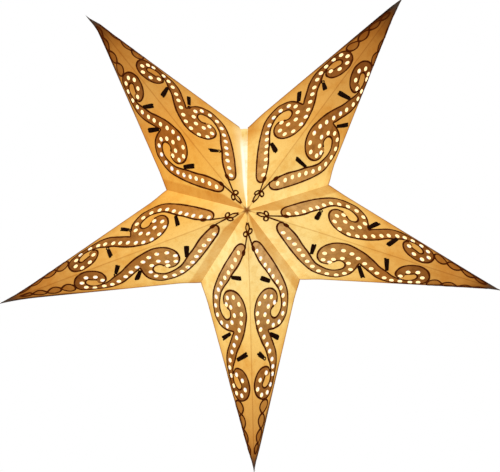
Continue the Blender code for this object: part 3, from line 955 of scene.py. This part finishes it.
# The painted ornament. Along the holes a scroll is washed in thin brown, outlined by hand in raised dark
# outliner, with black buds on it, a chain of links out to the tip and a trefoil knot near the middle.
LINE_HALF = 1.18
LINE_UNEVEN = 0.16
WAVER_STEPS = 4
LINE_BLOB = 0.35
BLOB_STEPS = 3
LINE_LIFT = 0.45
LINE_SINK = 0.08
STEM_SHARE = 0.92
LOOP_SHARE = 0.95
LOOP_SIDES = 22
WASH_RISE = 0.00014
WASH_SINK = 0.00010
WASH_SLACK = 0.00005
# Each arm's knot: where it crosses and ends, and the turn of its two side loops from the long one.
KNOTS = {
    "upper_left": (24.4, 10.7, radians(104), radians(61)),
    "left": (24.5, 10.5, radians(81), radians(54)),
    "bottom": (26.6, 14.7, radians(122), radians(63)),
    "right": (23.9, 11.8, radians(103), radians(80)),
    "upper_right": (26.6, 11.5, radians(84), radians(45)),
}
KNOT_LOOP = (3.3, 2.5)
KNOT_BULGE = 2.7
KNOT_CLEAR = (0.7, 0.5)
BEAD_LOOP = (3.0, 1.3)
BEAD_HALF = 1.25
BEAD_STEPS = 2
BUD_WAIST = (1.9, 2.5)
BUD_FULL = (2.6, 3.1)
BUD_FILL = 1.4
RINGED_SHARE = 0.4
RING_ROOT_SHARE = 0.26
RING_LOOP = (2.0, 1.5)
RING_HALF = 0.85
SPIKE_ROOT_SHARE = 0.55
SPIKE_ASIDE = (0.0011, 0.0019)
SPIKE_BACK = (0.0004, 0.0022)
SPIKE_HALF = (1.0, 1.5)
SCROLL_TINT = (0.68, 0.52, 0.48)
SCROLL_COATS = ((0.05, 0.15, (0.68, 0.64, 0.58)), (0.180, 0.215, (0.86, 0.86, 0.86)))
BRUSH_MARKS = ((110, 4, 0.65), 0.42, 0.70, (0.66, 0.62, 0.58))
LINK_TINT = (0.66, 0.56, 0.46)
OUTLINER_COLOUR = (0.095, 0.0150, 0.0006)
BUD_COLOUR = (0.016, 0.0045, 0.0015)
PAINT_MARKS = ((260, 3), 0.35, 0.75, (0.45, 0.40, 0.38))
PAINT_ROUGHNESS = 0.7
PAINT_SHEEN = 0.015
PAINT_BUMPS = (700, 2)
PAINT_RELIEF = (0.4, 0.0003)
# How far apart the seeds of two hands are, and how far on in a hand's own seeds its links and its knot start.
HAND_SEEDS = 50
LINK_SEEDS = 10
KNOT_SEEDS = 20


def raised(strokes):
    """Strokes of outliner: each a line, its half width in millimetres at each place, and if it closes."""
    curve = bpy.data.curves.new("stroke", "CURVE")
    curve.dimensions = "3D"
    curve.bevel_depth = 0.001
    curve.bevel_resolution = 1
    curve.use_fill_caps = True
    for line, halves, closed in strokes:
        spline = curve.splines.new("POLY")
        spline.points.add(len(line) - 1)
        spline.use_cyclic_u = closed
        for spot, place, half in zip(spline.points, line, halves):
            spot.co = (*place, 0, 1)
            spot.radius = half
    obj = bpy.data.objects.new("stroke", curve)
    data = bpy.data.meshes.new_from_object(obj)
    bpy.data.objects.remove(obj)
    for vert in data.vertices:
        vert.co.z *= LINE_LIFT if vert.co.z > 0 else LINE_SINK
    return data


def hand_drawn(line, seed):
    """Half widths of a hand-drawn line: uneven, with a blob at each end."""
    draw = Random(seed)
    waver = [draw.uniform(-LINE_UNEVEN, LINE_UNEVEN) for _ in range(len(line) // WAVER_STEPS + 3)]
    halves = []
    for index in range(len(line)):
        part, step = divmod(index, WAVER_STEPS)
        share = step / WAVER_STEPS
        uneven = waver[part] * (1 - share) + waver[part + 1] * share
        to_end = min(index, len(line) - 1 - index)
        halves.append(LINE_HALF * (1 + uneven) + LINE_BLOB * max(0, 1 - to_end / BLOB_STEPS))
    return halves


def loop_from(start, turn, size):
    """A long loop that leaves start, turned from the way to the star's middle. Its size is in millimetres."""
    ahead = Vector((-cos(turn), sin(turn)))
    across = Vector((-ahead.y, ahead.x))
    long, wide = size[0] / 1000, size[1] / 1000
    angles = [2 * pi * step / LOOP_SIDES for step in range(LOOP_SIDES)]
    return [start + ahead * long * (1 - cos(angle)) + across * wide * sin(angle) for angle in angles]


def outliner_strokes(pattern, arm, side, seed):
    """Every dark outline of a facet."""
    strokes = []
    for number, line in enumerate((pattern.pod_and_back, pattern.stem_and_curl, pattern.inner_side)):
        strokes.append((line, hand_drawn(line, seed + number), False))
    for number, line in enumerate(pattern.links):
        strokes.append((line, hand_drawn(line, seed + LINK_SEEDS + number), True))
    crossing, end, minus_turn, plus_turn = KNOTS[arm]
    start = Vector((crossing, KNOT_CLEAR[0])) / 1000
    middle = Vector(((crossing + end) / 2, KNOT_BULGE)) / 1000
    stem = flowing([pattern.inner_side[-1], start])
    half_loop = flowing([start, middle, Vector((end, KNOT_CLEAR[1])) / 1000])
    for number, line in enumerate((stem, half_loop)):
        halves = [STEM_SHARE * half for half in hand_drawn(line, seed + KNOT_SEEDS + number)]
        strokes.append((line, halves, False))
    side_loop = loop_from(start, minus_turn if side < 0 else plus_turn, KNOT_LOOP)
    strokes.append((side_loop, [LOOP_SHARE * LINE_HALF] * LOOP_SIDES, True))
    inner = pattern.inner_side
    off_ends = range(BEAD_STEPS + 1, len(inner) - BEAD_STEPS - 1)
    nearest = min(off_ends, key=lambda index: (inner[index] - pattern.bead).length)
    along = (inner[nearest - BEAD_STEPS] - inner[nearest + BEAD_STEPS]).normalized()
    base = inner[nearest] - along * BEAD_LOOP[0] / 1000
    strokes.append((loop_from(base, atan2(along.y, -along.x), BEAD_LOOP), [BEAD_HALF] * LOOP_SIDES, True))
    return strokes


def bud_strokes(pattern, seed):
    """The black buds: each a thick bar, ragged at its head, some with a small open ring at the base."""
    draw = Random(seed)
    strokes = []
    for base, head in pattern.buds:
        ahead = (head - base).normalized()
        across = Vector((-ahead.y, ahead.x))
        waist, full = draw.uniform(*BUD_WAIST), draw.uniform(*BUD_FULL)
        root = 0.0
        if draw.random() < RINGED_SHARE:
            root = RING_ROOT_SHARE
            ring = loop_from(base, atan2(ahead.y, -ahead.x), RING_LOOP)
            strokes.append((ring, [RING_HALF] * LOOP_SIDES, True))
        bar = flowing([base.lerp(head, root), base.lerp(head, 0.5), head - ahead * full / 1000])
        last = len(bar) - 1
        halves = [waist + (full - waist) * min(1, BUD_FILL * step / last) for step in range(last + 1)]
        strokes.append((bar, halves, False))
        for way in (-1, 1):
            corner = head + across * way * draw.uniform(*SPIKE_ASIDE) - ahead * draw.uniform(*SPIKE_BACK)
            spike = flowing([base.lerp(head, SPIKE_ROOT_SHARE), corner])
            strokes.append((spike, [draw.uniform(*SPIKE_HALF)] * len(spike), False))
    return strokes


def washed(rings):
    """A thin coat of wash inside the first ring and outside the others."""
    return as_mesh(cut_flat(rings, WASH_RISE, -WASH_SINK)[0], "wash")


def ornament_drawing(pattern, arm, side, seed):
    """The flat ornament: scroll wash, link wash, outliner and buds are its four finishes."""
    coats = [(washed([pattern.scroll, *pattern.punch_rings(WASH_SLACK)]), 0)]
    coats += [(washed([link]), 1) for link in pattern.links]
    coats.append((raised(outliner_strokes(pattern, arm, side, seed)), 2))
    coats.append((raised(bud_strokes(pattern, seed)), 3))
    flat = bmesh.new()
    for data, finish in coats:
        count = len(flat.faces)
        flat.from_mesh(data)
        bpy.data.meshes.remove(data)
        flat.faces.ensure_lookup_table()
        for face in flat.faces[count:]:
            face.material_index = finish
            face.smooth = finish > 1
    return flat_drawing(flat, "ornament_flat")


def wash_finish(name, tint, coats=()):
    """Thin brown wash over the lit paper. Coats set in along the facet, and show how they were brushed."""
    wash = PaperFinish(name)
    colour = wash.tinted(wash.fibres(wash.glow()), 1, tint)
    for start, full, coat in coats:
        colour = wash.tinted(colour, wash.rising(wash.x, start, full), coat)
    if coats:
        colour = wash.mottled(colour, *BRUSH_MARKS)
    wash.shine_through(wash.edged(colour))
    return wash.material


def outliner_finish(name, colour):
    """Dark paint squeezed on thick, slightly glossy."""
    paint = Finish(name, roughness=PAINT_ROUGHNESS)
    paint.feed("Specular IOR Level", PAINT_SHEEN)
    paint.feed("Base Color", paint.mottled(colour, *PAINT_MARKS))
    paint.bumped(*PAINT_RELIEF, paint.noise(*PAINT_BUMPS))
    return paint.material


finishes = [
    wash_finish("scroll_wash", SCROLL_TINT, SCROLL_COATS),
    wash_finish("link_wash", LINK_TINT),
    outliner_finish("outliner", OUTLINER_COLOUR),
    outliner_finish("bud_paint", BUD_COLOUR),
]
ornaments = {}
for number, (key, pattern) in enumerate(patterns.items()):
    ornaments[key] = ornament_drawing(pattern, *key, HAND_SEEDS * number)
for facet in facets:
    painted = facet.lay(ornaments[pattern_key(facet)], f"{facet.name}_ornament", finishes)
    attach(painted, facet.name)

# Lampholder. A cap screwed on a shell, both of pale moulded plastic, and a brown moulded insert inside them
# that carries the contacts.
HOLDER_PLASTIC = ((0.85, 0.84, 0.80), 0.42)
INSERT_PLASTIC = ((0.22, 0.14, 0.09), 0.60)
DUST = ((180, 4), 0.45, 0.80, (0.90, 0.87, 0.80))
MOULDED_GRAIN = (2400, 2)
MOULDED_RELIEF = (0.1, 0.0001)


def moulded_finish(name, colour, roughness):
    """Moulded plastic or glass with a faint grain."""
    plastic = Finish(name, roughness=roughness)
    plastic.feed("Base Color", plastic.mottled(colour, *DUST))
    plastic.bumped(*MOULDED_RELIEF, plastic.noise(*MOULDED_GRAIN))
    return plastic.material


def refinish(node, material):
    """Gives a frame node a better material."""
    materials = frame["nodes"][node].data.materials
    materials.clear()
    materials.append(material)


holder_plastic = moulded_finish("holder_plastic", *HOLDER_PLASTIC)
refinish("holder_cap", holder_plastic)
refinish("holder_shell", holder_plastic)
refinish("contact_insert", moulded_finish("insert_plastic", *INSERT_PLASTIC))

# Thread shell and centre contact. Both are pressed from thin sheet brass, and the insert holds the shell and,
# above it, the contact that the bulb's tip presses on.
BRASS = ((0.80, 0.60, 0.28), 0.24)
WEAR = (320, 4, 0.6)
WEAR_LEVELS = (0.35, 0.75)
WEAR_TINT = (0.82, 0.78, 0.72)
WEAR_ROUGHNESS = 0.18


def metal_finish(name, colour, roughness):
    """Pressed sheet metal with fine scratches."""
    metal = Finish(name, metallic=1.0)
    worn = metal.rising(metal.noise(*WEAR), *WEAR_LEVELS)
    metal.feed("Base Color", metal.tinted(colour, worn, WEAR_TINT))
    metal.feed("Roughness", worn * WEAR_ROUGHNESS + roughness)
    return metal.material


brass = metal_finish("brass", *BRASS)
refinish("thread_shell", brass)
refinish("centre_contact", brass)

# Screw cap. It is pressed from nickel-plated brass and cemented over the neck of the bulb. Black glass on top
# of it carries the end contact.
NICKEL = ((0.66, 0.64, 0.60), 0.22)
BLACK_GLASS = ((0.03, 0.03, 0.04), 0.15)
nickel = metal_finish("nickel", *NICKEL)
refinish("bulb_screw_cap", nickel)
refinish("bulb_contact", nickel)
refinish("bulb_insulator", moulded_finish("black_glass", *BLACK_GLASS))

# Bulb. It is blown of soft white glass and hangs below its cap. Inside it a glass stem, sealed to the neck,
# carries the glowing filament at its lower end.
BULB_GLASS = ((1.0, 0.93, 0.78), 1.6)
STEM_GLASS = ((0.95, 0.93, 0.88), 0.2)
FILAMENT = ((1.0, 0.72, 0.35), 4.0)
GLASS_ROUGHNESS = 0.25
FROST = ((140, 3), 0.30, 0.80, (1.0, 0.95, 0.86))


def lit_finish(name, colour, strength):
    """Frosted glass or hot wire that gives light of its own."""
    glass = Finish(name, roughness=GLASS_ROUGHNESS)
    colour = glass.mottled(colour, *FROST)
    glass.feed("Base Color", colour)
    glass.feed("Emission Color", colour)
    glass.feed("Emission Strength", strength)
    return glass.material


refinish("bulb_glass", lit_finish("bulb_glass", *BULB_GLASS))
refinish("bulb_stem", lit_finish("stem_glass", *STEM_GLASS))
refinish("bulb_filament", lit_finish("filament", *FILAMENT))

# Studio. A pale floor lies well below the hanging star and turns into the white backdrop further off. Three
# soft lamps light the star from in front and behind.
FLOOR_DEPTH = 1.35
FLOOR_RADIUS = 30
FLOOR_SIDES = 96
FLOOR_ROUGHNESS = 0.9
FLOOR_COLOUR = (0.93, 0.93, 0.93)
BACKDROP_FROM = (1.8, 3.2)
WORLD_LIGHT = 0.55
SEEN_LIGHT = 1.0
LAMP_AIM = Vector((0, 0, -0.1))
LAMPS = {
    "key": ((-1.6, -2.2, 1.5), 1.6, 34),
    "fill": ((2.2, -1.6, 0.4), 1.8, 12),
    "rear": ((0.4, 2.4, 1.2), 1.6, 24),
}


def floor_finish():
    """Pale and dull, and seen as plain white where it reaches the backdrop."""
    finish = Finish("floor", roughness=FLOOR_ROUGHNESS)
    finish.feed("Base Color", FLOOR_COLOUR)
    finish.feed("Specular IOR Level", 0.0)
    away = finish.node("ShaderNodeVectorMath", {"operation": "LENGTH"}, {0: finish.space}, 1)
    seen = finish.node("ShaderNodeLightPath", None, None, "Is Camera Ray")
    white = finish.node("ShaderNodeEmission", None, {"Color": (1, 1, 1), "Strength": 1.0})
    lit = Signal(finish, finish.shader.outputs[0])
    far = finish.rising(away, *BACKDROP_FROM) * seen
    mixed = finish.node("ShaderNodeMixShader", None, {0: far, 1: lit, 2: white})
    output = next(node for node in finish.tree.nodes if node.type == "OUTPUT_MATERIAL")
    finish.plug(output.inputs[0], mixed)
    return finish.material


def studio_floor():
    """One round sheet, far wider than the view."""
    mesh = bmesh.new()
    bmesh.ops.create_circle(mesh, cap_ends=True, segments=FLOOR_SIDES, radius=FLOOR_RADIUS)
    bmesh.ops.translate(mesh, verts=mesh.verts[:], vec=(0, 0, -FLOOR_DEPTH))
    floor = in_scene("floor", as_mesh(mesh, "floor"))
    floor.data.materials.append(floor_finish())


def studio_world():
    """White where it is seen, mirrored or seen through glass, and dimmer as a light."""
    world = bpy.data.worlds.new("studio")
    bpy.context.scene.world = world
    world.use_nodes = True
    nodes = Nodes(world.node_tree)
    seen = nodes.node("ShaderNodeLightPath", None, None, "Is Camera Ray")
    for way in ("Is Glossy Ray", "Is Transmission Ray"):
        seen = nodes.maths("MAXIMUM", seen, nodes.node("ShaderNodeLightPath", None, None, way))
    sockets = {"Value": seen, "To Min": WORLD_LIGHT, "To Max": SEEN_LIGHT}
    background = nodes.tree.nodes["Background"]
    nodes.plug(background.inputs["Color"], (1, 1, 1))
    nodes.plug(background.inputs["Strength"], nodes.node("ShaderNodeMapRange", None, sockets))


def soft_lamp(name, place, size, watts):
    light = bpy.data.lights.new(name, "AREA")
    light.size = size
    light.energy = watts
    lamp = in_scene(name, light)
    lamp.location = place
    lamp.rotation_mode = "QUATERNION"
    lamp.rotation_quaternion = (LAMP_AIM - Vector(place)).to_track_quat("-Z", "Y")


studio_floor()
studio_world()
for name, lamp in LAMPS.items():
    soft_lamp(name, *lamp)

# Camera. It stands two metres off the star and looks slightly up at it. It is a touch off level, as the
# photograph is.
STAR_CENTRE = Vector((0, 0, FRONT_APEX.z))
VIEW_AZIMUTH = radians(1.04)
VIEW_ELEVATION = radians(-0.95)
VIEW_ROLL = radians(-1.78)
VIEW_DISTANCE = 2.0
SENSOR_WIDTH = 36
PIXELS_PER_METRE = 857.5
STAR_PIXEL = (248.28, 212.28)
FRAME_SIZE = (500, 472)


def aim_camera():
    level_away = cos(VIEW_ELEVATION)
    toward = Vector(
        (sin(VIEW_AZIMUTH) * level_away, -cos(VIEW_AZIMUTH) * level_away, sin(VIEW_ELEVATION))
    )
    level = (-toward).cross(Vector((0, 0, 1))).normalized()
    upright = level.cross(-toward)
    right = level * cos(VIEW_ROLL) + upright * sin(VIEW_ROLL)
    up = upright * cos(VIEW_ROLL) - level * sin(VIEW_ROLL)
    camera = bpy.data.cameras.new("camera")
    camera.sensor_width = SENSOR_WIDTH
    camera.lens = SENSOR_WIDTH * PIXELS_PER_METRE * VIEW_DISTANCE / FRAME_SIZE[0]
    obj = in_scene("camera", camera)
    off_right = (FRAME_SIZE[0] / 2 - STAR_PIXEL[0]) / PIXELS_PER_METRE
    off_down = (FRAME_SIZE[1] / 2 - STAR_PIXEL[1]) / PIXELS_PER_METRE
    place = STAR_CENTRE + right * off_right - up * off_down + toward * VIEW_DISTANCE
    turn = Matrix((right, up, toward)).transposed().to_4x4()
    obj.matrix_world = Matrix.Translation(place) @ turn
    bpy.context.scene.camera = obj


aim_camera()
bpy.context.scene.view_settings.view_transform = "Standard"
